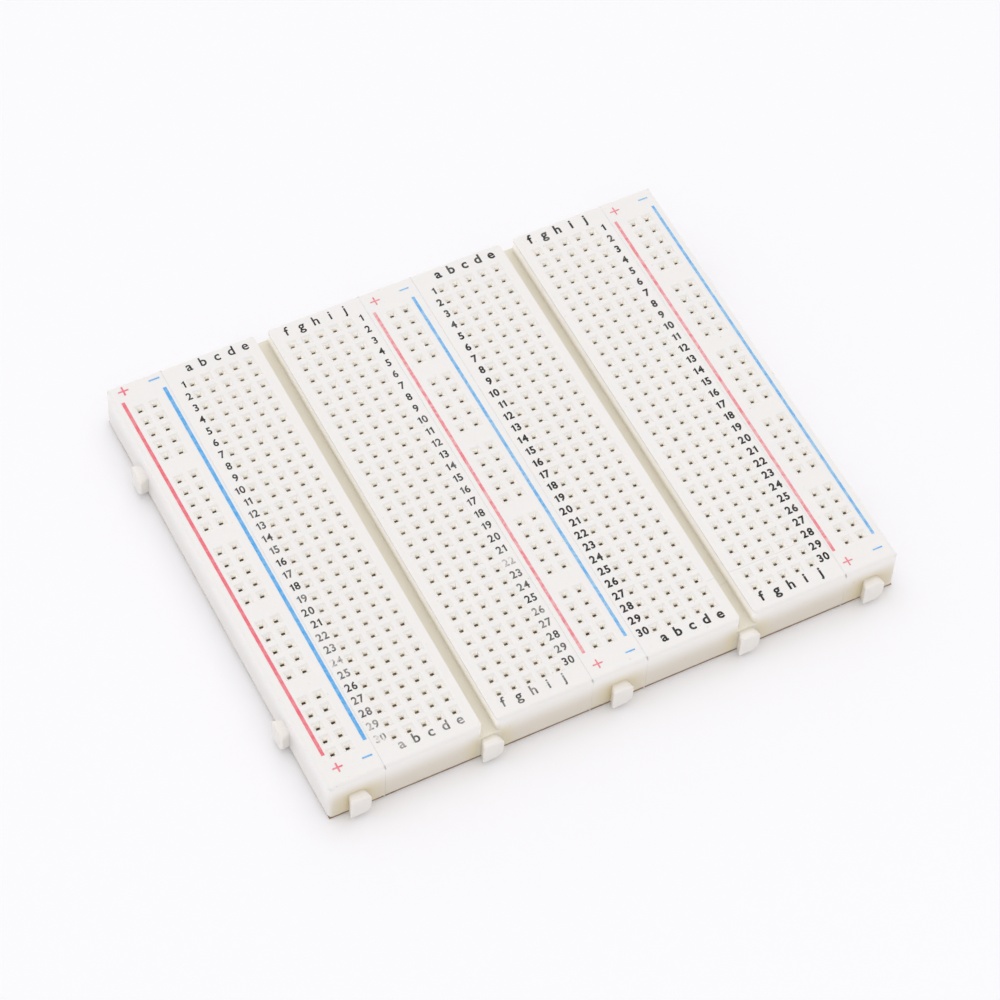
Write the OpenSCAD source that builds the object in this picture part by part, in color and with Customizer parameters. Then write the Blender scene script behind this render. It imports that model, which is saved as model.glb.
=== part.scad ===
// Modular solderless breadboard: two terminal strips and three power rails that slide
// together on dovetails. Every module is a moulded body with spring clips pushed in from
// below, closed by a foam pad with a paper release liner.
// X runs across the modules, Y runs along the rows with row 1 at +Y, and Z is up.
// The origin is at the centre of the underside. All sizes are in millimetres.

/* [Tie points] */
// Distance between neighbouring tie points
pitch = 2.54; // [2.5:0.01:2.58]
// Rows of tie points on a terminal strip
rows = 30; // [12:1:30]
// Tie points that one terminal clip joins
clip_points = 5; // [3:1:5]
// Groups of tie points on a power rail
rail_groups = 5; // [2:1:5]
// Tie points in one group of a power rail
group_points = 5; // [3:1:5]
// Width of a hole's square mouth
mouth_w = 1.8; // [1.4:0.05:2]
// Width of the square throat at the foot of the mouth
throat_w = 0.85; // [0.7:0.05:1]
// Depth of the tapered mouth, which is the thickness of the top wall
mouth_depth = 1.2; // [0.8:0.1:1.6]

/* [Modules] */
// Length of every module along the rows
module_len = 83; // [82:0.5:90]
// Height of the board with its backing
board_h = 8.5; // [8.4:0.1:10]
// Width of a terminal strip
strip_w = 35.2; // [35:0.1:37]
// Width of a power rail
rail_w = 9.4; // [9.2:0.1:11]
// Gap at the seam between two modules
seam_gap = 0.1; // [0.08:0.01:0.2]
// Radius of the board's outer edges and outer upright corners
edge_r = 0.8; // [0.4:0.1:1]
// Radius of the edges on either side of a seam
seam_edge_r = 0.1; // [0.05:0.05:0.3]
// Width of the ravine between the two halves of a terminal strip
ravine_w = 2.5; // [2:0.1:3]
// Depth of the ravine
ravine_depth = 2.9; // [2:0.1:3]
// Radius of the upright corners where the ravine runs out at its ends
ravine_mouth_r = 0.9; // [0.3:0.1:1.2]

/* [Dovetails] */
// Width of a lug where it meets the wall
lug_neck_w = 2.7; // [2:0.1:3]
// Width of a lug at its outer face
lug_head_w = 3.7; // [3.2:0.1:4]
// How far a lug stands out of the wall
lug_depth = 1.6; // [1.2:0.1:1.6]
// Height of a lug
lug_h = 4.5; // [3:0.1:4.5]
// Slant on the right corners of a lug's outer face
lug_slant = 1.1; // [0.5:0.1:1.2]
// Distance of the side lugs from the middle of the module
side_lug_y = 26.4; // [20:0.1:30]
// Clearance between a lug and its slot
fit_gap = 0.1; // [0.06:0.01:0.15]

/* [Clips] */
// Thickness of the clip metal
metal_t = 0.2; // [0.15:0.01:0.25]
// Width of one contact leaf
leaf_w = 1.8; // [1.4:0.1:2]
// Width of the pocket that a clip sits in
pocket_w = 1.9; // [1.7:0.1:2]
// Gap between a pair of leaves where they pinch a wire
pinch_gap = 0.1; // [0.05:0.01:0.2]

/* [Backing] */
// Thickness of the foam pad
foam_t = 0.5; // [0.4:0.1:1]
// Thickness of the release liner
liner_t = 0.12; // [0.1:0.01:0.2]
// Distance of the backing from the edges of a module
backing_inset = 0.2; // [0.1:0.05:1]

/* [Hidden] */
$fn = 48;
eps = 0.01;

body_color = "ivory";
clip_color = "silver";
foam_color = "whitesmoke";
liner_color = "tan";

// Heights
body_z = foam_t + liner_t;
pocket_top_z = board_h - mouth_depth;
ravine_floor_z = board_h - ravine_depth;
lug_top_z = body_z + lug_h;

// Centres of the modules, from the left rail to the right rail
module_step = (rail_w + strip_w) / 2 + seam_gap;
rail_left_x = -2 * module_step;
strip_1_x = -module_step;
rail_middle_x = 0;
strip_2_x = module_step;
rail_right_x = 2 * module_step;

// Tie point positions in a module, counted from its centre
ravine_span = 3 * pitch;
bank_len = (clip_points - 1) * pitch;
bank_x = (ravine_span + bank_len) / 2;
clip_columns = [for (i = [0:clip_points - 1]) i * pitch - bank_len / 2];
strip_columns = [for (side = [-1, 1]) for (x = clip_columns) side * bank_x + x];
strip_rows = [for (i = [0:rows - 1]) (rows - 1) * pitch / 2 - i * pitch];
group_step = (group_points + 1) * pitch;
rail_len = rail_groups * group_step - 2 * pitch;
rail_rows = [for (g = [0:rail_groups - 1]) for (i = [0:group_points - 1])
    g * group_step + i * pitch - rail_len / 2];
rail_columns = [-pitch / 2, pitch / 2];

// A clip stands in its pocket with a little room at the ends and above
clip_room = 0.05;
clip_h = pocket_top_z - body_z - clip_room;
clip_w = pocket_w - 2 * clip_room;
pinch_h = 0.84 * clip_h;
pocket_over = leaf_w / 2 + 2 * clip_room;

// Left half of a rectangle from y = bottom to y = top, with the corners round where they are asked for.
// It reaches past the middle, so that it overlaps the right half.
module half_outline(w, bottom, top, r, foot_r) {
    reach = w / 2 + 1;
    translate([-w / 2, bottom + foot_r])
        square([reach, top - bottom - foot_r - r]);
    translate([-w / 2 + r, bottom])
        square([reach - r, top - bottom]);
    translate([-w / 2 + r, top - r])
        circle(r = r);
    if (foot_r > 0)
        translate([-w / 2 + foot_r, bottom + foot_r])
            circle(r = foot_r);
}

// Side outline of a module: square at the foot, round at the top
module arched_outline(w, left_r, right_r) {
    half_outline(w, body_z, board_h, left_r, 0);
    mirror([1, 0])
        half_outline(w, body_z, board_h, right_r, 0);
}

// Plan of a module with round corners
module plan_outline(w, left_r, right_r) {
    half_outline(w, -module_len / 2, module_len / 2, left_r, left_r);
    mirror([1, 0])
        half_outline(w, -module_len / 2, module_len / 2, right_r, right_r);
}

// Solid block of a module, with round top edges and round upright corners
module block(w, left_r, right_r) {
    intersection() {
        translate([0, 0, body_z])
            linear_extrude(board_h - body_z)
                plan_outline(w, left_r, right_r);
        rotate([90, 0, 0])
            linear_extrude(module_len + 2, center = true)
                arched_outline(w, left_r, right_r);
        rotate([90, 0, 90])
            linear_extrude(w + 2, center = true)
                arched_outline(module_len, edge_r, edge_r);
    }
}

// Plan of a dovetail that grows out of the wall at y = 0 towards -y
module dovetail_plan(neck_w, head_w, depth) {
    polygon([
        [-neck_w / 2, eps], [-head_w / 2, -depth],
        [head_w / 2, -depth], [neck_w / 2, eps]
    ]);
}

// Lug that stands out of the wall at y = 0 towards -y, with slanted right corners
module lug() {
    half_w = lug_head_w / 2;
    intersection() {
        translate([0, 0, body_z])
            linear_extrude(lug_h)
                dovetail_plan(lug_neck_w, lug_head_w, lug_depth);
        rotate([90, 0, 0])
            linear_extrude(3 * lug_depth, center = true)
                polygon([
                    [-half_w, body_z], [half_w - lug_slant, body_z],
                    [half_w, body_z + lug_slant], [half_w, lug_top_z - lug_slant / 2],
                    [half_w - lug_slant, lug_top_z], [-half_w, lug_top_z]
                ]);
    }
}

// Plan of the slot for a lug of the next module, in the wall at y = 0 towards -y
module slot_plan() {
    slot_depth = lug_depth - seam_gap + fit_gap;
    dovetail_plan(lug_neck_w + 2 * fit_gap, lug_head_w + 2 * fit_gap, slot_depth);
}

// Lugs on the front wall and the left wall of a module of width w
module lugs(w) {
    translate([0, -module_len / 2, 0])
        lug();
    for (y = [-side_lug_y, side_lug_y])
        translate([-w / 2, y, 0])
            rotate([0, 0, -90])
                lug();
}

// Plan of the slots in the back wall and the right wall of a module of width w
module slot_plans(w) {
    translate([0, module_len / 2])
        slot_plan();
    for (y = [-side_lug_y, side_lug_y])
        translate([w / 2, y])
            rotate(-90)
                slot_plan();
}

// Slots of a module of width w, open below
module slots(w) {
    linear_extrude(lug_top_z + fit_gap)
        slot_plans(w);
}

// Wedge-shaped groove of length len along X, as deep and as wide as a tapered mouth
module mouth_groove(len) {
    rise = 0.05;
    spread = rise * (mouth_w - throat_w) / mouth_depth;
    foot = (throat_w - spread) / 2;
    head = (mouth_w + spread) / 2;
    rotate([90, 0, 90])
        linear_extrude(len, center = true)
            polygon([
                [-foot, pocket_top_z - rise], [foot, pocket_top_z - rise],
                [head, board_h + rise], [-head, board_h + rise]
            ]);
}

// Tapered square holes wherever a column in xs crosses a row in ys
module holes(xs, ys) {
    intersection() {
        for (y = ys)
            translate([0, y, 0])
                mouth_groove(2 * max(xs) + 2 * mouth_w);
        for (x = xs)
            translate([x, 0, 0])
                rotate([0, 0, 90])
                    mouth_groove(module_len);
    }
}

// Pocket for a clip of length len along X, open below
module pocket(len) {
    translate([-len / 2 - pocket_over, -pocket_w / 2, 0])
        cube([len + 2 * pocket_over, pocket_w, pocket_top_z]);
}

// Plan of the part that is cut away to round one upright corner at the end of the ravine
module ravine_corner_plan() {
    r = ravine_mouth_r;
    difference() {
        translate([ravine_w / 2 - eps, module_len / 2 - r])
            square([r + eps, r + 1]);
        translate([ravine_w / 2 + r, module_len / 2 - r])
            circle(r = r);
    }
}

// Ravine along the middle of a terminal strip, open and a little wider at both ends
module ravine() {
    translate([0, 0, ravine_floor_z])
        linear_extrude(ravine_depth + 1) {
            square([ravine_w, 2 * module_len], center = true);
            for (x = [0, 1])
                for (y = [0, 1])
                    mirror([x, 0])
                        mirror([0, y])
                            ravine_corner_plan();
        }
}

// Moulded body of a terminal strip
module strip_body() {
    color(body_color)
        difference() {
            union() {
                block(strip_w, seam_edge_r, seam_edge_r);
                lugs(strip_w);
            }
            slots(strip_w);
            ravine();
            holes(strip_columns, strip_rows);
            for (side = [-1, 1])
                for (y = strip_rows)
                    translate([side * bank_x, y, 0])
                        pocket(bank_len);
        }
}

// Moulded body of a power rail, with the radius of its left and right edges
module rail_body(left_r, right_r) {
    color(body_color)
        difference() {
            union() {
                block(rail_w, left_r, right_r);
                lugs(rail_w);
            }
            slots(rail_w);
            holes(rail_columns, rail_rows);
            for (x = rail_columns)
                translate([x, 0, 0])
                    rotate([0, 0, 90])
                        pocket(rail_len);
        }
}

// Cross-section of a clip: a floor and two walls that lean in to the pinch and flare out at the lips
module clip_outline() {
    outer = clip_w / 2;
    inner = pinch_gap / 2;
    half = [
        [outer, 0], [inner + metal_t, pinch_h], [outer, clip_h],
        [outer - metal_t, clip_h], [inner, pinch_h], [outer - metal_t, metal_t]
    ];
    mirrored = [for (i = [len(half) - 1:-1:0]) [-half[i].x, half[i].y]];
    polygon(concat(half, mirrored));
}

// Spring clip along X with a pair of leaves at each of the given tie points
module clip(points) {
    first = points[0] - leaf_w / 2;
    last = points[len(points) - 1] + leaf_w / 2;
    translate([0, 0, body_z])
        difference() {
            translate([first, 0, 0])
                rotate([90, 0, 90])
                    linear_extrude(last - first)
                        clip_outline();
            for (i = [1:len(points) - 1])
                translate([points[i - 1] + leaf_w / 2, -clip_w, 2 * metal_t])
                    cube([points[i] - points[i - 1] - leaf_w, 2 * clip_w, clip_h]);
        }
}

// All clips on one side of the ravine: -1 is columns a to e, 1 is columns f to j
module strip_clips(side) {
    color(clip_color)
        for (y = strip_rows)
            translate([side * bank_x, y, 0])
                clip(clip_columns);
}

// One full-length clip of a power rail: -1 is the plus line, 1 is the minus line
module rail_clip(side) {
    color(clip_color)
        translate([side * pitch / 2, 0, 0])
            rotate([0, 0, 90])
                clip(rail_rows);
}

// Sheet of backing that leaves the dovetail slots of a module of width w free
module backing(w, z, t) {
    translate([0, 0, z])
        linear_extrude(t)
            difference() {
                square([w - 2 * backing_inset, module_len - 2 * backing_inset], center = true);
                slot_plans(w);
            }
}

// Foam pad under a module of width w
module foam_pad(w) {
    color(foam_color)
        backing(w, liner_t, foam_t);
}

// Paper liner under the foam pad of a module of width w
module release_liner(w) {
    color(liner_color)
        backing(w, 0, liner_t);
}

module rail_left_body() { translate([rail_left_x, 0, 0]) rail_body(edge_r, seam_edge_r); }
module rail_left_plus_clip() { translate([rail_left_x, 0, 0]) rail_clip(-1); }
module rail_left_minus_clip() { translate([rail_left_x, 0, 0]) rail_clip(1); }
module rail_left_foam_pad() { translate([rail_left_x, 0, 0]) foam_pad(rail_w); }
module rail_left_release_liner() { translate([rail_left_x, 0, 0]) release_liner(rail_w); }

module strip_1_body() { translate([strip_1_x, 0, 0]) strip_body(); }
module strip_1_clips_a_to_e() { translate([strip_1_x, 0, 0]) strip_clips(-1); }
module strip_1_clips_f_to_j() { translate([strip_1_x, 0, 0]) strip_clips(1); }
module strip_1_foam_pad() { translate([strip_1_x, 0, 0]) foam_pad(strip_w); }
module strip_1_release_liner() { translate([strip_1_x, 0, 0]) release_liner(strip_w); }

module rail_middle_body() { translate([rail_middle_x, 0, 0]) rail_body(seam_edge_r, seam_edge_r); }
module rail_middle_plus_clip() { translate([rail_middle_x, 0, 0]) rail_clip(-1); }
module rail_middle_minus_clip() { translate([rail_middle_x, 0, 0]) rail_clip(1); }
module rail_middle_foam_pad() { translate([rail_middle_x, 0, 0]) foam_pad(rail_w); }
module rail_middle_release_liner() { translate([rail_middle_x, 0, 0]) release_liner(rail_w); }

module strip_2_body() { translate([strip_2_x, 0, 0]) strip_body(); }
module strip_2_clips_a_to_e() { translate([strip_2_x, 0, 0]) strip_clips(-1); }
module strip_2_clips_f_to_j() { translate([strip_2_x, 0, 0]) strip_clips(1); }
module strip_2_foam_pad() { translate([strip_2_x, 0, 0]) foam_pad(strip_w); }
module strip_2_release_liner() { translate([strip_2_x, 0, 0]) release_liner(strip_w); }

module rail_right_body() { translate([rail_right_x, 0, 0]) rail_body(seam_edge_r, edge_r); }
module rail_right_plus_clip() { translate([rail_right_x, 0, 0]) rail_clip(-1); }
module rail_right_minus_clip() { translate([rail_right_x, 0, 0]) rail_clip(1); }
module rail_right_foam_pad() { translate([rail_right_x, 0, 0]) foam_pad(rail_w); }
module rail_right_release_liner() { translate([rail_right_x, 0, 0]) release_liner(rail_w); }

rail_left_body();
rail_left_plus_clip();
rail_left_minus_clip();
rail_left_foam_pad();
rail_left_release_liner();
strip_1_body();
strip_1_clips_a_to_e();
strip_1_clips_f_to_j();
strip_1_foam_pad();
strip_1_release_liner();
rail_middle_body();
rail_middle_plus_clip();
rail_middle_minus_clip();
rail_middle_foam_pad();
rail_middle_release_liner();
strip_2_body();
strip_2_clips_a_to_e();
strip_2_clips_f_to_j();
strip_2_foam_pad();
strip_2_release_liner();
rail_right_body();
rail_right_plus_clip();
rail_right_minus_clip();
rail_right_foam_pad();
rail_right_release_liner();
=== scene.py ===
"""Looks of the modular solderless breadboard: bodies, clips, backing, printing, floor, light and camera."""

import math
import random

import bmesh
import bpy
from mathutils import Matrix, Vector, noise


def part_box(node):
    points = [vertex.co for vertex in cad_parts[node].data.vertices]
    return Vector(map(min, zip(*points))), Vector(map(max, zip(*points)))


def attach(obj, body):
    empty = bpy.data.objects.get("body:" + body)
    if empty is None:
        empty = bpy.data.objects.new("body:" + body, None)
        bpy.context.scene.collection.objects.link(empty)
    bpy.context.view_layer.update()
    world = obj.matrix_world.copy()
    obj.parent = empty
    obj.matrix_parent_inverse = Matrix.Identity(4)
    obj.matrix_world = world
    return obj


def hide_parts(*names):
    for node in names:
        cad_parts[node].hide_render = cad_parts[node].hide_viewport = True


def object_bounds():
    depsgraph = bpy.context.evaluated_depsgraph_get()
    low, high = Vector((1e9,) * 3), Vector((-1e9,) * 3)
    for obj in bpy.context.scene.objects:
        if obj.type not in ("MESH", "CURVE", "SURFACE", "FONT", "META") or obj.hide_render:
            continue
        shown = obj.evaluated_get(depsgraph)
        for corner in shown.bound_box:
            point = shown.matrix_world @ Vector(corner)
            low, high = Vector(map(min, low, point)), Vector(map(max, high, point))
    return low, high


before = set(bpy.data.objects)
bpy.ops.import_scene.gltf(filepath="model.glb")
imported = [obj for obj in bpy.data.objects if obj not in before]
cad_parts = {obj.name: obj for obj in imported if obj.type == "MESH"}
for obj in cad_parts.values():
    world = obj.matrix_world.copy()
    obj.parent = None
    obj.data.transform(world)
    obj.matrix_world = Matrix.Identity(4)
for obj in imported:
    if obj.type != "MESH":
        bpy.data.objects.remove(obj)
cad_low, cad_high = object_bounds()

MM = 0.001
PITCH = 2.54 * MM
ROWS = 30
RAILS = ("rail_left", "rail_middle", "rail_right")
STRIPS = ("strip_1", "strip_2")
MODULES = RAILS + STRIPS
LETTERS = ("abcde", "fghij")

# Places that every module shares
TOP_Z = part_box("strip_1_body")[1].z
BODY_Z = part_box("strip_1_body")[0].z
CEILING_Z = TOP_Z - 1.2 * MM
THROAT_Z = CEILING_Z + 0.8 * MM
RAVINE_Z = TOP_Z - 2.9 * MM
MIDDLE_X = {module: sum(corner.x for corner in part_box(f"{module}_foam_pad")) / 2 for module in MODULES}
MODULE_STEP = MIDDLE_X["strip_1"] - MIDDLE_X["rail_left"]
BACK_Y = cad_high.y
FRONT_Y = -BACK_Y
RIGHT_X = cad_high.x
LEFT_X = -RIGHT_X
FIRST_ROW_Y = (ROWS - 1) / 2 * PITCH
# The lips of the first and last rows end before this
HOLES_Y = FIRST_ROW_Y + 1.1 * MM
# A bank is the five columns on one side of a ravine. BANK_X runs from the strip's middle to the bank's.
BANK_X = 3.5 * PITCH
# From the middle of a hole to the side of the pocket under it, and a little more
HOLE_REACH = 0.98 * MM
# From the middle of a ravine to the flat top beside its rounded edges
RAVINE_REACH = 2.3 * MM


# Node materials

class Nodes:
    """A material's node tree with short calls to add and link nodes."""

    def __init__(self, name):
        self.material = bpy.data.materials.new(name)
        self.material.use_nodes = True
        self.tree = self.material.node_tree
        self.shader = self.tree.nodes["Principled BSDF"]
        self.place = self.add("ShaderNodeTexCoord").outputs["Object"]

    def add(self, kind, **settings):
        node = self.tree.nodes.new(kind)
        for key, value in settings.items():
            setattr(node, key, value)
        return node

    def feed(self, socket, value):
        """Links an output to the socket, or sets the socket to a number or a colour."""
        if isinstance(value, bpy.types.NodeSocket):
            self.tree.links.new(value, socket)
        elif isinstance(value, tuple) and len(socket.default_value) == 4:
            socket.default_value = (*value, 1.0)
        else:
            socket.default_value = value

    def set(self, **sockets):
        """Feeds the shader's sockets, whose names have underscores for spaces."""
        for key, value in sockets.items():
            self.feed(self.shader.inputs[key.replace("_", " ")], value)

    def noise(self, scale, detail=2.0, roughness=0.5, stretch=None):
        place = self.place
        if stretch:
            mapping = self.add("ShaderNodeMapping")
            mapping.inputs["Scale"].default_value = stretch
            self.feed(mapping.inputs["Vector"], place)
            place = mapping.outputs["Vector"]
        node = self.add("ShaderNodeTexNoise")
        settings = (("Vector", place), ("Scale", scale), ("Detail", detail), ("Roughness", roughness))
        for socket, value in settings:
            self.feed(node.inputs[socket], value)
        return node.outputs["Fac"]

    def remap(self, value, low, high, to_low=0.0, to_high=1.0):
        node = self.add("ShaderNodeMapRange", interpolation_type="SMOOTHSTEP")
        limits = (("From Min", low), ("From Max", high), ("To Min", to_low), ("To Max", to_high))
        for socket, number in (("Value", value), *limits):
            self.feed(node.inputs[socket], number)
        return node.outputs["Result"]

    def fade(self, value, low, high):
        """1 up to low, falling smoothly to 0 at high."""
        return self.remap(value, low, high, 1.0, 0.0)

    def math(self, operation, a, b=0.0):
        node = self.add("ShaderNodeMath", operation=operation)
        self.feed(node.inputs[0], a)
        self.feed(node.inputs[1], b)
        return node.outputs["Value"]

    def times(self, value, *factors):
        """The value times every factor."""
        for factor in factors:
            value = self.math("MULTIPLY", value, factor)
        return value

    def mix(self, factor, a, b):
        node = self.add("ShaderNodeMix", data_type="RGBA")
        for socket, value in zip((node.inputs["Factor"], node.inputs[6], node.inputs[7]), (factor, a, b)):
            self.feed(socket, value)
        return node.outputs[2]

    def axis(self, letter):
        node = self.add("ShaderNodeSeparateXYZ")
        self.feed(node.inputs["Vector"], self.place)
        return node.outputs[letter]

    def facing(self, letter):
        """How far the surface faces along an axis, from -1 to 1."""
        node = self.add("ShaderNodeSeparateXYZ")
        self.feed(node.inputs["Vector"], self.add("ShaderNodeNewGeometry").outputs["Normal"])
        return node.outputs[letter]

    def attribute(self, name):
        return self.add("ShaderNodeAttribute", attribute_name=name).outputs["Fac"]

    def bump(self, value, strength, distance):
        node = self.add("ShaderNodeBump")
        for socket, fed in (("Strength", strength), ("Distance", distance), ("Height", value)):
            self.feed(node.inputs[socket], fed)
        self.feed(self.shader.inputs["Normal"], node.outputs["Normal"])


# Regions of the board, as factors from 0 to 1

# How deep into the board the painted light and the painted glow of an outer wall reach
WALL_DEPTH = 0.8 * MM


def hairline(n, y, x_low, x_high):
    """1 on a hair-thin crack across a strip at about y, from x_low to x_high, and 0 elsewhere."""
    wander = n.times(n.math("SUBTRACT", n.noise(160.0, 3.0), 0.5), 1.1 * MM)
    distance = n.math("ABSOLUTE", n.math("SUBTRACT", n.math("ADD", n.axis("Y"), wander), y))
    line = n.fade(distance, 0.02 * MM, 0.10 * MM)
    after_start = n.remap(n.axis("X"), x_low, x_low + 2 * MM)
    before_end = n.fade(n.axis("X"), x_high - MM, x_high)
    return n.times(line, after_start, before_end)


def shade_beside_front_lugs(n):
    """Where the painted shade beside the lugs lies: 1 on the front wall close beside a lug, fading to 0 a few
    millimetres away from it.
    """
    # Four steps make the sum positive everywhere, and it comes back to 0 at every lug
    along = n.math("PINGPONG", n.math("ADD", n.axis("X"), 4 * MODULE_STEP), MODULE_STEP / 2)
    beside = n.fade(along, 1.6 * MM, 5.5 * MM)
    behind_lug_faces = n.remap(n.axis("Y"), FRONT_Y - 0.3 * MM, FRONT_Y - 0.05 * MM)
    near_wall = n.fade(n.axis("Y"), FRONT_Y + 0.1 * MM, FRONT_Y + 0.6 * MM)
    low = n.fade(n.axis("Z"), 4.0 * MM, 7.5 * MM)
    return n.times(beside, behind_lug_faces, near_wall, low)


def on_outer_walls(n, with_front=True):
    """1 on the outer walls of the board, 0 inside it."""
    across = n.math("ABSOLUTE", n.axis("X"))
    along = n.math("ABSOLUTE", n.axis("Y")) if with_front else n.axis("Y")
    side = n.remap(across, RIGHT_X - WALL_DEPTH, RIGHT_X)
    return n.math("MAXIMUM", side, n.remap(along, BACK_Y - WALL_DEPTH, BACK_Y))


def in_ravines(n):
    """1 in the ravines along the strips, 0 from the first holes on."""
    across = n.math("SUBTRACT", n.math("ABSOLUTE", n.axis("X")), MIDDLE_X["strip_2"])
    return n.fade(n.math("ABSOLUTE", across), RAVINE_REACH - 0.6 * MM, RAVINE_REACH)


def on_lugs(n):
    """1 on the lugs of the front and left sides, 0 elsewhere."""
    front = n.fade(n.axis("Y"), cad_low.y + 0.8 * MM, FRONT_Y - 0.2 * MM)
    left = n.fade(n.axis("X"), cad_low.x + 0.8 * MM, LEFT_X - 0.2 * MM)
    return n.math("MAXIMUM", front, left)


def in_pockets(n):
    """1 in the clip pockets under the holes, 0 from the throats up."""
    return n.times(n.attribute("hollow"), n.fade(n.axis("Z"), CEILING_Z - 0.3 * MM, CEILING_Z + 0.1 * MM))


# The plastic's colours, with the painted shade and painted light on it; where there are two, it drifts from
# one to the other
IVORY_TOP = (0.86, 0.84, 0.815), (0.885, 0.87, 0.845)
# Painted shade: the walls darker and yellower towards the foot
FOOT_PAINTED_SHADE = (0.73, 0.67, 0.57), (0.77, 0.715, 0.62)
# Painted light: the outer side and back walls lighter
OUTER_WALL_PAINTED_LIGHT = (0.88, 0.86, 0.845)
# Painted shade in the nooks beside the front lugs
BESIDE_LUG_PAINTED_SHADE = (0.76, 0.67, 0.45)
# Painted shade deep in the ravines
RAVINE_PAINTED_SHADE = (0.775, 0.735, 0.625)
IVORY_LUG = (0.865, 0.835, 0.79)
# Painted light: the mouths' slopes lighter
MOUTH_PAINTED_LIGHT = (0.95, 0.93, 0.885)
# Painted shade: the pockets dark brown
POCKET_PAINTED_SHADE = (0.30, 0.22, 0.14), (0.62, 0.52, 0.38)
DIRT = (0.50, 0.44, 0.34)

# Painted glow: an emission that stands in for the light the plastic lets through; its colours, and its
# strength on each kind of wall
PAINTED_GLOW = (1.0, 0.94, 0.85)
RAVINE_PAINTED_GLOW = (1.0, 0.97, 0.94)
MOUTH_PAINTED_GLOW = 0.20
OUTSIDE_PAINTED_GLOW = 0.06
POCKET_PAINTED_GLOW = 0.05
# Painted light: ravine walls that face left glow more, as if lit from the left
RAVINE_LEFT_FACING_PAINTED_GLOW, RAVINE_RIGHT_FACING_PAINTED_GLOW = 0.21, 0.07


def ivory_colour(n, crack):
    """Near white on top, with painted shade making it yellower down the walls, beside the front lugs and in
    the ravines and brown in the depth of a hole, and painted light making the side and back walls and the
    mouths lighter.
    """
    height = n.axis("Z")
    top = n.mix(n.noise(45.0, 3.0), *IVORY_TOP)
    foot = n.mix(n.noise(90.0, 3.0), *FOOT_PAINTED_SHADE)
    # Painted shade: darker and yellower from 2.5 mm down to the foot
    colour = n.mix(n.remap(height, 2.5 * MM, TOP_Z), foot, top)
    # Painted light: the side and back walls lighter than the front
    colour = n.mix(n.times(on_outer_walls(n, with_front=False), 0.85), colour, OUTER_WALL_PAINTED_LIGHT)
    # Painted shade: darker and yellower in the nooks beside the front lugs
    colour = n.mix(n.times(shade_beside_front_lugs(n), 0.8), colour, BESIDE_LUG_PAINTED_SHADE)
    # Painted shade: darker and yellower deep in the ravines
    deep = n.fade(height, RAVINE_Z + 0.1 * MM, RAVINE_Z + 1.6 * MM)
    colour = n.mix(n.times(in_ravines(n), deep), colour, RAVINE_PAINTED_SHADE)
    colour = n.mix(on_lugs(n), colour, IVORY_LUG)
    # Painted light: the slopes of the mouths lighter, from the throat up to the top
    mouth = n.times(n.attribute("hollow"), n.fade(height, THROAT_Z, TOP_Z - 0.05 * MM))
    colour = n.mix(mouth, colour, MOUTH_PAINTED_LIGHT)
    # Painted shade: the pockets under the throats dark brown
    brown = n.mix(n.remap(n.noise(260.0, 1.0), 0.35, 0.65), *POCKET_PAINTED_SHADE)
    colour = n.mix(in_pockets(n), colour, brown)
    specks = n.remap(n.noise(1500.0, 1.0), 0.76, 0.80, 0.0, 0.35)
    return n.mix(n.math("MAXIMUM", n.times(crack, 0.30), specks), colour, DIRT)


def painted_glow_strength(n):
    """The strength of the painted glow, an emission that stands in for the light that the plastic lets
    through to the walls of its hollows and outside.
    """
    height = n.axis("Z")
    mouth = n.times(n.attribute("hollow"), n.remap(height, CEILING_Z - 0.1 * MM, CEILING_Z))
    mouth = n.times(mouth, n.fade(height, THROAT_Z - 0.3 * MM, THROAT_Z + 0.25 * MM))
    wall = n.times(on_outer_walls(n), n.remap(height, TOP_Z - 5.0 * MM, TOP_Z - 0.8 * MM))
    wall = n.times(wall, n.fade(height, TOP_Z - 0.6 * MM, TOP_Z - 0.05 * MM))
    under_lip = n.fade(height, TOP_Z - 0.7 * MM, TOP_Z - 0.1 * MM)
    above_floor = n.remap(height, RAVINE_Z - 0.4 * MM, TOP_Z - 1.0 * MM)
    inside = n.math("SUBTRACT", 1.0, on_outer_walls(n))
    # Painted light: ravine walls that face left glow more than those that face right
    facing = n.remap(n.facing("X"), -0.7, 0.7, RAVINE_LEFT_FACING_PAINTED_GLOW, RAVINE_RIGHT_FACING_PAINTED_GLOW)
    bank = n.times(in_ravines(n), under_lip, above_floor, inside, facing)
    light = n.math("ADD", n.times(mouth, MOUTH_PAINTED_GLOW), n.times(wall, OUTSIDE_PAINTED_GLOW))
    return n.math("ADD", light, n.math("ADD", bank, n.times(in_pockets(n), POCKET_PAINTED_GLOW)))


def ivory_plastic():
    """Moulded ivory plastic with a fine grain, specks and a hairline crack near the front of strip_2, with
    painted shade and painted light in its colour and a painted glow.
    """
    n = Nodes("ivory_plastic")
    crack = hairline(n, -32.9 * MM, 18.5 * MM, 37.0 * MM)
    n.set(Base_Color=ivory_colour(n, crack), Roughness=n.remap(n.noise(700.0, 3.0), 0.2, 0.8, 0.34, 0.50))
    n.set(Subsurface_Weight=0.3, Subsurface_Radius=(1.0, 0.9, 0.75), Subsurface_Scale=0.25 * MM, IOR=1.53)
    # Painted glow: emission on the mouths, pockets, ravines and outer walls
    n.set(Emission_Color=n.mix(in_ravines(n), PAINTED_GLOW, RAVINE_PAINTED_GLOW), Emission_Strength=painted_glow_strength(n))
    n.bump(n.math("SUBTRACT", n.noise(2600.0, 4.0, 0.6), n.times(crack, 2.0)), 0.25, 0.02 * MM)
    return n.material


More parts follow.
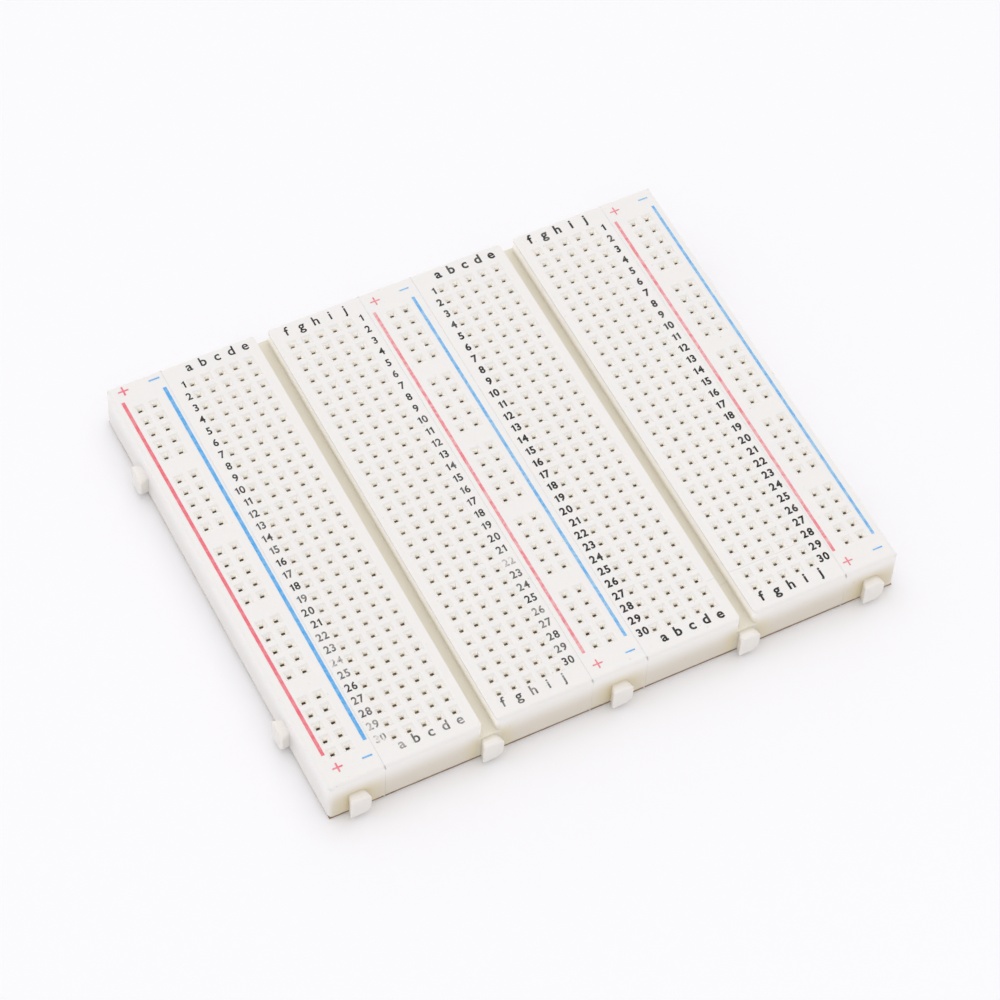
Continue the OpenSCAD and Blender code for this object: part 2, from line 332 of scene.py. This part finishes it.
def ink(name, colour, thin_colour, fading, gloss=0.5):
    """Pad-printed ink: colour where it lies thick, thin_colour in the patches where it has worn."""
    n = Nodes(name)
    wear = n.attribute("wear")
    patches = n.remap(n.noise(1100.0, 4.0, 0.7), 0.36, 0.62)
    worn = n.math("ADD", n.times(wear, patches), n.times(wear, 0.35))
    scratches = n.remap(n.noise(1.0, 2.0, 0.5, (2600.0, 260.0, 1.0)), 0.66, 0.70, 0.0, 0.8)
    thin = n.math("MAXIMUM", n.times(patches, fading), n.times(scratches, wear))
    amount = n.math("MINIMUM", n.math("MAXIMUM", worn, thin), 1.0)
    n.set(Base_Color=n.mix(amount, colour, thin_colour), Specular_IOR_Level=gloss)
    n.set(Roughness=n.remap(n.noise(1500.0, 2.0), 0.2, 0.8, 0.40, 0.6))
    n.bump(n.noise(4000.0, 3.0), 0.2, 0.01 * MM)
    return n.material


def plated_metal():
    """Nickel-plated spring metal with rolling marks and a brown tarnish."""
    n = Nodes("plated_spring_metal")
    tarnish = n.remap(n.noise(300.0, 4.0), 0.35, 0.7)
    n.set(Base_Color=n.mix(tarnish, (0.74, 0.67, 0.56), (0.50, 0.40, 0.28)), Metallic=1.0)
    rolling = n.noise(1.0, 3.0, 0.6, (400.0, 9000.0, 9000.0))
    n.set(Roughness=n.remap(rolling, 0.2, 0.8, 0.25, 0.45))
    n.bump(rolling, 0.15, 0.01 * MM)
    return n.material


def closed_cell_foam():
    """Off-white closed-cell foam that shows its cells where it is cut."""
    n = Nodes("foam")
    cells = n.add("ShaderNodeTexVoronoi", feature="DISTANCE_TO_EDGE")
    n.feed(cells.inputs["Vector"], n.place)
    n.feed(cells.inputs["Scale"], 4200.0)
    wall = n.remap(cells.outputs["Distance"], 0.02, 0.22)
    pore = n.mix(n.noise(200.0), (0.50, 0.48, 0.42), (0.58, 0.56, 0.50))
    n.set(Base_Color=n.mix(wall, pore, (0.80, 0.78, 0.72)), Roughness=0.9)
    n.set(Subsurface_Weight=0.2, Subsurface_Radius=(1.0, 1.0, 0.9), Subsurface_Scale=0.5 * MM)
    n.bump(wall, 0.5, 0.06 * MM)
    return n.material


def kraft_paper():
    """Waxed brown release paper with fibres and a soft crease here and there."""
    n = Nodes("kraft_paper")
    fibres = n.noise(1.0, 4.0, 0.7, (700.0, 2600.0, 2600.0))
    cloud = n.noise(120.0, 3.0)
    brown = n.mix(n.remap(fibres, 0.3, 0.7), (0.30, 0.185, 0.105), (0.45, 0.31, 0.19))
    n.set(Base_Color=n.mix(n.remap(cloud, 0.35, 0.7, 0.0, 0.5), brown, (0.38, 0.25, 0.15)))
    n.set(Roughness=n.remap(cloud, 0.3, 0.7, 0.42, 0.6))
    n.bump(n.math("ADD", fibres, n.times(cloud, 2.0)), 0.3, 0.02 * MM)
    return n.material


PLASTIC = ivory_plastic()
METAL = plated_metal()
FOAM = closed_cell_foam()
PAPER = kraft_paper()
BARE = (0.80, 0.78, 0.73)
BLACK_INK = ink("ink_black", (0.016, 0.011, 0.009), BARE, 0.06, gloss=0.2)
RED_INK = ink("ink_red", (0.86, 0.13, 0.18), (0.87, 0.45, 0.46), 0.35)
BLUE_INK = ink("ink_blue", (0.055, 0.38, 0.82), (0.42, 0.65, 0.84), 0.35)


# Mesh helpers

def new_object(name, bm, material, module):
    """Puts a bmesh into the scene as a piece with the given material and body."""
    mesh = bpy.data.meshes.new(name)
    bm.to_mesh(mesh)
    bm.free()
    mesh.materials.append(material)
    obj = bpy.data.objects.new(name, mesh)
    bpy.context.scene.collection.objects.link(obj)
    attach(obj, module)
    return obj


def shade(obj, angle_degrees):
    """Smooth shading, with edges over the angle kept sharp and the flat faces kept flat."""
    obj.data.polygons.foreach_set("use_smooth", [True] * len(obj.data.polygons))
    obj.data.set_sharp_from_angle(angle=math.radians(angle_degrees))
    modifier = obj.modifiers.new("flat_faces", "WEIGHTED_NORMAL")
    modifier.keep_sharp = True
    modifier.weight = 100


def welded(node):
    """A CAD node's solid as one closed mesh, with the faces of each plane joined."""
    bm = bmesh.new()
    bm.from_mesh(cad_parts[node].data)
    bmesh.ops.remove_doubles(bm, verts=bm.verts, dist=0.001 * MM)
    bmesh.ops.dissolve_limit(bm, angle_limit=math.radians(0.5), verts=bm.verts, edges=bm.edges)
    return bm


def cut_across(bm, axis, place):
    """Cuts the mesh along a plane, so that the shading near an edge doesn't run on over a whole face."""
    normal = Vector((0.0, 0.0, 0.0))
    normal[axis] = 1.0
    everything = list(bm.verts) + list(bm.edges) + list(bm.faces)
    bmesh.ops.bisect_plane(bm, geom=everything, dist=0.0005 * MM, plane_co=normal * place, plane_no=normal)


def round_edges(bm, wanted, radius, segments, least_angle=30):
    """Rounds every edge that wanted(edge) picks, where its faces meet at more than least_angle degrees."""
    least = math.radians(least_angle)
    bm.normal_update()
    edges = [e for e in bm.edges if len(e.link_faces) == 2 and e.calc_face_angle(0.0) > least and wanted(e)]
    bmesh.ops.bevel(
        bm, geom=edges, offset=radius, offset_type="OFFSET", segments=segments,
        profile=0.5, affect="EDGES", clamp_overlap=True, loop_slide=True,
    )


def near(value, target, reach=0.02 * MM):
    return abs(value - target) < reach


# Moulded bodies

# How far a wall bulges into the seam beside it: the real bodies press together with a bare hairline between
SNUG = 0.045 * MM
# The radius of the edges along a seam in the CAD, and the share of it that is left in the visual body
SEAM_EDGE = 0.1 * MM
CRISP = 0.3
# A vertex this close to a plane lies on it
ON_PLANE = 0.002 * MM

MOUTH_RADIUS = 0.17 * MM
LUG_RADIUS = 0.48 * MM
LIP_RADIUS = 0.18 * MM
RAVINE_FLOOR_RADIUS = 0.35 * MM
FOOT_RADIUS = 0.10 * MM


def close_seam(bm, wall_x, side):
    """Moves a wall at a seam out to its neighbour and makes the wall's rounded edges tighter."""
    for vertex in bm.verts:
        inset = side * (wall_x - vertex.co.x)
        if inset < -ON_PLANE or inset > SEAM_EDGE + ON_PLANE:
            continue
        vertex.co.x = wall_x + side * (SNUG - inset * CRISP)
        drop = TOP_Z - vertex.co.z
        if drop < SEAM_EDGE:
            vertex.co.z = TOP_Z - drop * CRISP


def is_slope(face):
    """True for the four slanted sides of a tie-point mouth."""
    above = all(v.co.z > CEILING_Z - 0.01 * MM for v in face.verts)
    among_holes = all(abs(v.co.y) < HOLES_Y for v in face.verts)
    return above and among_holes and len(face.verts) == 4 and 0.3 < face.normal.z < 0.95


def add_throats(bm):
    """Lifts the foot of every tapered mouth off the pocket's ceiling and adds a straight throat under it."""
    bm.normal_update()
    at_ceiling = [e for e in bm.edges if all(near(v.co.z, CEILING_Z) for v in e.verts)]
    shared = [e for e in at_ceiling if len(e.link_faces) == 2]
    foot = [e for e in shared if sum(is_slope(f) for f in e.link_faces) == 1]
    bmesh.ops.split_edges(bm, edges=foot)
    loose = [e for e in bm.edges if e.is_boundary and is_slope(e.link_faces[0])]
    rim = [e for e in loose if near(e.verts[0].co.z, CEILING_Z)]
    walls = bmesh.ops.extrude_edge_only(bm, edges=rim)["geom"]
    lower = {v for v in walls if isinstance(v, bmesh.types.BMVert)}
    upper = {v for e in rim for v in e.verts} - lower
    for vertex in upper:
        vertex.co.z = THROAT_Z
    bmesh.ops.remove_doubles(bm, verts=bm.verts, dist=0.001 * MM)
    bmesh.ops.recalc_face_normals(bm, faces=bm.faces)


def is_mouth_edge(edge):
    """A lip of a tapered mouth, or the corner between two of its slopes."""
    slopes = [is_slope(f) for f in edge.link_faces]
    at_top = all(near(v.co.z, TOP_Z) for v in edge.verts)
    return all(slopes) or (any(slopes) and at_top)


def mark_hollows(bm, middle, is_strip):
    """Marks the vertices of the holes and the pockets, where the plastic gets painted light in the mouths,
    painted shade in the pockets and a painted glow.
    """
    hollow = bm.verts.layers.float.new("hollow")
    banks = (-BANK_X, BANK_X) if is_strip else (0.0,)
    reach = 2 * PITCH + HOLE_REACH if is_strip else PITCH
    for vertex in bm.verts:
        x, y, z = vertex.co.x - middle, abs(vertex.co.y), vertex.co.z
        in_bank = any(abs(x - bank) < reach for bank in banks)
        vertex[hollow] = float(in_bank and y < HOLES_Y and z > BODY_Z + 0.01 * MM)


def build_body(module):
    """A body with rounded edges, throats under its mouths and walls that close the seams."""
    node = f"{module}_body"
    middle = MIDDLE_X[module]
    half_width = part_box(node)[1].x - middle
    is_strip = module in STRIPS

    def on_lug(edge):
        in_front, at_left = FRONT_Y - 0.05 * MM, middle - half_width - 0.05 * MM
        return any(v.co.y < in_front or v.co.x < at_left for v in edge.verts)

    def in_ravine(edge):
        return all(abs(v.co.x - middle) < RAVINE_REACH - 0.1 * MM for v in edge.verts)

    def on_ravine_lip(edge):
        above = all(v.co.z > RAVINE_Z + 0.05 * MM for v in edge.verts)
        return above and edge.is_convex and in_ravine(edge)

    def on_ravine_floor(edge):
        return in_ravine(edge) and all(near(v.co.z, RAVINE_Z) for v in edge.verts)

    def on_foot(edge):
        outside = [abs(f.normal.z) < 0.1 for f in edge.link_faces]
        inner_y, inner_x = BACK_Y - 2.0 * MM, half_width - 2.0 * MM
        rim = all(abs(v.co.y) > inner_y or abs(v.co.x - middle) > inner_x for v in edge.verts)
        return any(outside) and rim and all(near(v.co.z, BODY_Z) for v in edge.verts)

    bm = welded(node)
    add_throats(bm)
    for side in (-1, 1):
        cut_across(bm, 1, side * (BACK_Y - 1.0 * MM))
        cut_across(bm, 0, middle + side * (half_width - 1.0 * MM))
        cut_across(bm, 0, middle + side * (half_width - 0.2 * MM))
        if is_strip:
            cut_across(bm, 0, middle + side * RAVINE_REACH)
    round_edges(bm, is_mouth_edge, MOUTH_RADIUS, segments=4, least_angle=5)
    round_edges(bm, on_lug, LUG_RADIUS, segments=5, least_angle=20)
    if is_strip:
        round_edges(bm, on_ravine_lip, LIP_RADIUS, segments=3)
        round_edges(bm, on_ravine_floor, RAVINE_FLOOR_RADIUS, segments=4)
    round_edges(bm, on_foot, FOOT_RADIUS, segments=2)

    if module != "rail_left":
        close_seam(bm, middle - half_width, -1)
    if module != "rail_right":
        close_seam(bm, middle + half_width, 1)
    mark_hollows(bm, middle, is_strip)

    obj = new_object(f"{module}_shell", bm, PLASTIC, module)
    shade(obj, 45)
    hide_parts(node)


for module in MODULES:
    build_body(module)


# Clips stay as they are in the frame, with their cut edges broken

def finish_clip(node):
    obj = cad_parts[node]
    if not obj.material_slots:
        obj.data.materials.append(METAL)
    for slot in obj.material_slots:
        slot.material = METAL
    weld = obj.modifiers.new("weld", "WELD")
    weld.merge_threshold = 0.001 * MM
    bevel = obj.modifiers.new("cut_edges", "BEVEL")
    bevel.width = 0.03 * MM
    bevel.segments = 2
    bevel.limit_method = "ANGLE"
    bevel.angle_limit = math.radians(35)


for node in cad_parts:
    if "clip" in node:
        finish_clip(node)


# Foam pads and release liners

def plan_of(node):
    """The outline of a flat CAD node as a list of (x, y), counter-clockwise."""
    bm = welded(node)
    face = max((f for f in bm.faces if f.normal.z > 0.9), key=lambda f: f.calc_area())
    points = [(loop.vert.co.x, loop.vert.co.y) for loop in face.loops]
    bm.free()
    return points


def cut_edge(points, step, ragged, seed):
    """The outline with a point every step or so, each moved in a little, like the edge of a die cut."""
    out = []
    for (x0, y0), (x1, y1) in zip(points, points[1:] + points[:1]):
        length = math.hypot(x1 - x0, y1 - y0)
        count = max(1, round(length / step))
        across = Vector((y1 - y0, x0 - x1)) / length
        for i in range(count):
            t = i / count
            x, y = x0 + (x1 - x0) * t, y0 + (y1 - y0) * t
            ripple = noise.noise(Vector((x / MM * 0.9, y / MM * 0.9, seed)))
            shift = 0.0 if i == 0 else -ragged * (0.5 + 0.5 * ripple)
            out.append(Vector((x, y)) + shift * across)
    return out


def inward(points, i, distance):
    """Point i of a counter-clockwise outline, moved into it by the distance."""
    before, here, after = points[i - 1], points[i], points[(i + 1) % len(points)]
    a, b = (here - before).normalized(), (after - here).normalized()
    normal = Vector((-(a.y + b.y), a.x + b.x))
    return here + normal.normalized() * distance


def build_slab(name, node, module, rings, step, ragged, material):
    """A flat piece on a CAD node's outline; its edge runs up through rings of (share of height, inset)."""
    low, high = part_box(node)
    outline = cut_edge(plan_of(node), step, ragged, low.x / MM)
    bm = bmesh.new()
    loops = []
    for height, inset in rings:
        z = low.z + (high.z - low.z) * height
        loops.append([bm.verts.new((*inward(outline, i, inset), z)) for i in range(len(outline))])
    count = len(outline)
    for lower, upper in zip(loops, loops[1:]):
        for i in range(count):
            bm.faces.new((lower[i], lower[(i + 1) % count], upper[(i + 1) % count], upper[i]))
    bm.faces.new(reversed(loops[0]))
    bm.faces.new(loops[-1])
    obj = new_object(name, bm, material, module)
    shade(obj, 50)
    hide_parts(node)
    return obj


# The foam is squeezed back a little with rounded edges, and the paper reaches out past it
FOAM_RINGS = [
    (0.0, 0.18 * MM), (0.08, 0.13 * MM), (0.3, 0.10 * MM),
    (0.7, 0.10 * MM), (0.92, 0.13 * MM), (1.0, 0.18 * MM),
]
PAPER_RINGS = [(0.0, -0.09 * MM), (0.25, -0.10 * MM), (0.75, -0.10 * MM), (1.0, -0.09 * MM)]

for module in MODULES:
    pad = build_slab(
        f"{module}_foam", f"{module}_foam_pad", module, FOAM_RINGS,
        step=0.9 * MM, ragged=0.05 * MM, material=FOAM,
    )
    build_slab(
        f"{module}_paper", f"{module}_release_liner", module, PAPER_RINGS,
        step=1.3 * MM, ragged=0.08 * MM, material=PAPER,
    )


# Printing

# The underside and the top of the ink, above the top face
INK_LOW = 0.002 * MM
INK_HIGH = 0.016 * MM
# The em of the figures and of the letters. The font's own measures below are shares of an em.
DIGIT_EM = 1.96 * MM
LETTER_EM = 2.5 * MM
X_HEIGHT = 0.458
DIGIT_HEIGHT = 0.69
LETTER_GAP = 0.105
# The letters' strokes are this much less bold than the figures'
LETTER_THINNER = 0.008
# The figures are narrower than the font's
DIGIT_WIDTH = 0.93
# How far a character may stand off its line, and how much a printed line's width may waver
UNEVEN = 0.02 * MM
WAVER = 0.04
glyphs = {}


def one_outline(weight):
    """The figure one with its flag, which the font draws as a bare bar."""
    left, right = 0.212 - weight, 0.31 + weight
    return [
        (right, 0.0), (right, DIGIT_HEIGHT), (right - 0.07, DIGIT_HEIGHT), (0.145, 0.60), (0.055, 0.545),
        (0.055, 0.455), (0.145, 0.495), (left, 0.54), (left, 0.0),
    ]


def glyph(character, weight):
    """(points, faces, left, right) of a character, in em units with its foot on y = 0."""
    key = (character, weight)
    if key in glyphs:
        return glyphs[key]
    bm = bmesh.new()
    if character == "1":
        bm.faces.new([bm.verts.new((x, y, 0.0)) for x, y in one_outline(weight)])
    else:
        curve = bpy.data.curves.new("glyph", "FONT")
        curve.body = character
        curve.resolution_u = 3
        curve.offset = weight
        text = bpy.data.objects.new("glyph", curve)
        bpy.context.scene.collection.objects.link(text)
        bpy.context.view_layer.update()
        mesh = bpy.data.meshes.new_from_object(text)
        bm.from_mesh(mesh)
        bpy.data.objects.remove(text)
        bpy.data.curves.remove(curve)
        bpy.data.meshes.remove(mesh)
    bmesh.ops.remove_doubles(bm, verts=bm.verts, dist=0.0005)
    bmesh.ops.dissolve_degenerate(bm, edges=bm.edges, dist=0.001)
    bm.verts.index_update()
    points = [(v.co.x, v.co.y) for v in bm.verts]
    faces = [[v.index for v in f.verts] for f in bm.faces]
    bm.free()
    xs = [x for x, y in points]
    glyphs[key] = (points, faces, min(xs), max(xs))
    return glyphs[key]


class Printing:
    """The ink of one colour on one module, gathered as flat outlines and made into a thin closed layer."""

    def __init__(self, seed):
        self.points, self.faces, self.wear = [], [], []
        self.random = random.Random(seed)

    def outline(self, points, faces, wear):
        start = len(self.points)
        self.points += points
        self.faces += [[start + i for i in face] for face in faces]
        self.wear += [wear] * len(points)

    def text(self, characters, x, y, em, align, wear, weight=0.0, width=1.0):
        """Characters with their feet on y, whose left edge, middle or right edge is at x."""
        shapes = [glyph(c, weight) for c in characters]
        widths = [right - left for _, _, left, right in shapes]
        total = (sum(widths) + LETTER_GAP * (len(shapes) - 1)) * em * width
        pen = x - {"left": 0.0, "middle": total / 2, "right": total}[align]
        for (points, faces, left, right), wide in zip(shapes, widths):
            drop = self.random.uniform(-UNEVEN, UNEVEN)
            placed = [(pen + (px - left) * em * width, y + drop + py * em) for px, py in points]
            self.outline(placed, faces, wear)
            pen += (wide + LETTER_GAP) * em * width

    def line(self, start, end, width, wear, steps=90):
        """A printed line whose width wavers a little."""
        side = []
        for i in range(steps + 1):
            t = i / steps
            x, y = start[0] + (end[0] - start[0]) * t, start[1] + (end[1] - start[1]) * t
            half = width / 2 * (1 + WAVER * self.random.uniform(-1, 1))
            side.append(((x - half, y), (x + half, y)))
        points = [point for pair in side for point in pair]
        faces = [(2 * i, 2 * i + 1, 2 * i + 3, 2 * i + 2) for i in range(steps)]
        self.outline(points, faces, wear)

    def minus(self, x, y, size, thick, wear):
        half, h = size / 2, thick / 2
        corners = [(-half, -h), (half, -h), (half, h), (-half, h)]
        self.outline([(x + cx, y + cy) for cx, cy in corners], [range(4)], wear)

    def plus(self, x, y, size, thick, wear):
        half, h = size / 2, thick / 2
        corners = [
            (-half, -h), (-h, -h), (-h, -half), (h, -half), (h, -h), (half, -h),
            (half, h), (h, h), (h, half), (-h, half), (-h, h), (-half, h),
        ]
        self.outline([(x + cx, y + cy) for cx, cy in corners], [range(12)], wear)

    def build(self, name, module, material):
        """Raises the outlines into a closed layer that carries their wear."""
        bm = bmesh.new()
        worn = bm.verts.layers.float.new("wear")
        verts = [bm.verts.new((x, y, TOP_Z + INK_LOW)) for x, y in self.points]
        for vertex, wear in zip(verts, self.wear):
            vertex[worn] = wear
        for face in self.faces:
            bm.faces.new([verts[i] for i in face])
        raised = bmesh.ops.extrude_face_region(bm, geom=list(bm.faces), use_keep_orig=True)["geom"]
        top = [v for v in raised if isinstance(v, bmesh.types.BMVert)]
        bmesh.ops.translate(bm, verts=top, vec=(0.0, 0.0, INK_HIGH - INK_LOW))
        bmesh.ops.recalc_face_normals(bm, faces=bm.faces)
        return new_object(name, bm, material, module)


def rising(ends, i, count):
    """The value of item i of count, evenly spaced from ends[0] to ends[1]."""
    return ends[0] + (ends[1] - ends[0]) * i / (count - 1)


# How the print of each strip sits against its holes, in millimetres, and how bold and how worn it is.
# top is the row of letters at the back, foot the one in front. Each has a sideways shift for the letters a to
# e and one for f to j, given for the first and the last letter, and a y for each five. The other pairs run
# from the back to the front. faded is the wear of single row numbers.
STRIP_PRINT = {
    "strip_1": {
        "top_shift": ((0.76, 0.50), (0.25, 0.43)), "top_y": (39.7, 39.4),
        "foot_shift": ((0.30, 0.0), (-0.28, -0.17)), "foot_y": (-38.92, -39.05),
        "left_x": (-1.19, -1.19), "right_x": (2.27, 1.98), "number_y": (0.15, 0.45),
        "weight": 0.022, "wear": (0.0, 0.36),
        "faded": {("left", 24): 0.75, ("left", 29): 0.6, ("left", 30): 0.85, ("right", 22): 0.97},
    },
    "strip_2": {
        "top_shift": ((0.68, 0.25), (0.02, 0.0)), "top_y": (39.53, 39.5),
        "foot_shift": ((0.40, 0.10), (-0.03, 0.18)), "foot_y": (-39.2, -39.2),
        "left_x": (-1.15, -1.15), "right_x": (2.1, 2.15), "number_y": (0.0, 0.1),
        "weight": 0.034, "wear": (0.10, 0.0), "faded": {},
    },
}


def print_strip(module, seed):
    setting = STRIP_PRINT[module]
    printing = Printing(seed)
    middle = MIDDLE_X[module]
    weight = setting["weight"]
    letter_drop = X_HEIGHT * LETTER_EM / 2
    for bank, letters in enumerate(LETTERS):
        side = (-1, 1)[bank]
        for edge, edge_wear in zip(("top", "foot"), setting["wear"]):
            for i, letter in enumerate(letters):
                column = middle + side * BANK_X + (i - 2) * PITCH
                x = column + rising(setting[f"{edge}_shift"][bank], i, len(letters)) * MM
                y = setting[f"{edge}_y"][bank] * MM - letter_drop
                wear = edge_wear * printing.random.uniform(0.3, 1.2)
                printing.text(letter, x, y, LETTER_EM, "middle", wear, weight - LETTER_THINNER)
    outer_column = BANK_X + 2 * PITCH
    digit_drop = DIGIT_HEIGHT * DIGIT_EM / 2
    for row in range(ROWS):
        y = FIRST_ROW_Y - row * PITCH + rising(setting["number_y"], row, ROWS) * MM - digit_drop
        left = middle - outer_column + rising(setting["left_x"], row, ROWS) * MM
        right = middle + outer_column + rising(setting["right_x"], row, ROWS) * MM
        for side, x, align in (("left", left, "right"), ("right", right, "middle")):
            wear = rising(setting["wear"], row, ROWS) * printing.random.uniform(0.2, 1.3)
            wear = setting["faded"].get((side, row + 1), wear)
            printing.text(str(row + 1), x, y, DIGIT_EM, align, wear, weight, DIGIT_WIDTH)
    printing.build(f"{module}_ink", module, BLACK_INK)


# Lines and signs of each rail in millimetres from its middle. A line is its back end and its front end as
# (x, y), and its width; a sign is (x, y, size) at the back and in front, and wear is how worn each is.
RAIL_PRINT = {
    "rail_left": {
        "red": ((-3.27, 37.85), (-2.77, -35.5), 0.57),
        "blue": ((3.98, 37.85), (4.11, -35.7), 0.61),
        "plus": ((-2.27, 39.93, 1.8), (-1.72, -38.27, 1.7)),
        "minus": ((3.13, 40.03, 1.9), (3.13, -38.47, 1.7)),
        "thick": 0.30, "wear": (0.1, 0.35), "line_wear": {"red": 0.12, "blue": 0.12},
    },
    "rail_middle": {
        "red": ((-3.80, 37.05), (-3.66, -36.3), 0.51),
        "blue": ((3.33, 37.25), (3.60, -36.3), 0.51),
        "plus": ((-2.64, 39.13, 1.7), (-2.67, -38.92, 1.7)),
        "minus": ((2.73, 39.33, 1.65), (2.93, -39.02, 1.65)),
        "thick": 0.25, "wear": (0.45, 0.35), "line_wear": {"red": 0.75, "blue": 0.55},
    },
    "rail_right": {
        "red": ((-3.96, 37.05), (-4.18, -36.5), 0.50),
        "blue": ((3.28, 37.4), (3.07, -36.3), 0.48),
        "plus": ((-2.98, 39.13, 1.7), (-3.21, -39.07, 1.7)),
        "minus": ((2.52, 39.41, 1.7), (2.25, -38.97, 1.7)),
        "thick": 0.25, "wear": (0.45, 0.45), "line_wear": {"red": 0.75, "blue": 0.55},
    },
}


def print_rail(module, seed):
    setting = RAIL_PRINT[module]
    middle = MIDDLE_X[module]
    for colour, sign, material in (("red", "plus", RED_INK), ("blue", "minus", BLUE_INK)):
        printing = Printing(seed + len(colour))
        start, end, width = setting[colour]
        ends = [(middle + x * MM, y * MM) for x, y in (start, end)]
        printing.line(*ends, width * MM, setting["line_wear"][colour])
        draw = getattr(printing, sign)
        for (x, y, size), wear in zip(setting[sign], setting["wear"]):
            draw(middle + x * MM, y * MM, size * MM, setting["thick"] * MM, wear)
        printing.build(f"{module}_{colour}_ink", module, material)


for seed, module in enumerate(STRIPS):
    print_strip(module, seed)
for seed, module in enumerate(RAILS):
    print_rail(module, 10 + seed)


# Floor, light and camera

def build_floor():
    bm = bmesh.new()
    bmesh.ops.create_grid(bm, x_segments=2, y_segments=2, size=4.0)
    mesh = bpy.data.meshes.new("floor")
    bm.to_mesh(mesh)
    bm.free()
    n = Nodes("floor")
    n.set(Base_Color=n.mix(n.noise(3.0), (0.955, 0.955, 0.97), (0.965, 0.965, 0.98)), Roughness=0.7)
    n.set(Specular_IOR_Level=0.2)
    mesh.materials.append(n.material)
    floor = bpy.data.objects.new("floor", mesh)
    bpy.context.scene.collection.objects.link(floor)
    floor.location.z = cad_low.z - 0.01 * MM


def build_sun(name, towards, strength, softness_degrees, colour):
    """Soft light that comes from the direction towards."""
    data = bpy.data.lights.new(name, "SUN")
    data.energy = strength
    data.angle = math.radians(softness_degrees)
    data.color = colour
    light = bpy.data.objects.new(name, data)
    light.rotation_euler = Vector(towards).to_track_quat("Z", "Y").to_euler()
    bpy.context.scene.collection.objects.link(light)


def build_world(colour, dim, bright, towards):
    """Light from all around, dim on one side and bright on the side towards."""
    world = bpy.data.worlds.new("studio")
    world.use_nodes = True
    tree = world.node_tree
    background = tree.nodes["Background"]
    background.inputs["Color"].default_value = (*colour, 1.0)
    share = tree.nodes.new("ShaderNodeVectorMath")
    share.operation = "DOT_PRODUCT"
    share.inputs[1].default_value = Vector(towards).normalized()
    strength = tree.nodes.new("ShaderNodeMapRange")
    for socket, number in (("From Min", -1.0), ("From Max", 1.0), ("To Min", dim), ("To Max", bright)):
        strength.inputs[socket].default_value = number
    direction = tree.nodes.new("ShaderNodeTexCoord").outputs["Generated"]
    tree.links.new(direction, share.inputs[0])
    tree.links.new(share.outputs["Value"], strength.inputs["Value"])
    tree.links.new(strength.outputs["Result"], background.inputs["Strength"])
    bpy.context.scene.world = world


def build_camera(azimuth, elevation, roll, distance, lens, target):
    """Camera that looks at target; azimuth 0 looks along +Y, angles are in degrees, and lens is in mm."""
    a, e, r = (math.radians(x) for x in (azimuth, elevation, roll))
    back = Vector((math.sin(a) * math.cos(e), -math.cos(a) * math.cos(e), math.sin(e)))
    level = Vector((0, 0, 1)).cross(back).normalized()
    right = Matrix.Rotation(r, 3, back) @ level
    up = back.cross(right)
    data = bpy.data.cameras.new("camera")
    data.lens = lens
    data.clip_end = 20.0
    camera = bpy.data.objects.new("camera", data)
    turned = Matrix((right, up, back)).transposed().to_4x4()
    camera.matrix_world = Matrix.Translation(target + distance * back) @ turned
    bpy.context.scene.collection.objects.link(camera)
    bpy.context.scene.camera = camera


build_floor()
build_world(colour=(0.995, 0.985, 1.0), dim=0.78, bright=0.90, towards=(-0.7, 0.6, 0.0))
build_sun("key", towards=(0.1, 0.15, 1.0), strength=0.55, softness_degrees=60.0, colour=(1.0, 0.99, 0.98))
build_camera(
    azimuth=-29.94, elevation=54.81, roll=3.56, distance=0.5951, lens=135.85,
    target=Vector((-2.25 * MM, -5.13 * MM, TOP_Z)),
)
bpy.context.scene.view_settings.view_transform = "Standard"
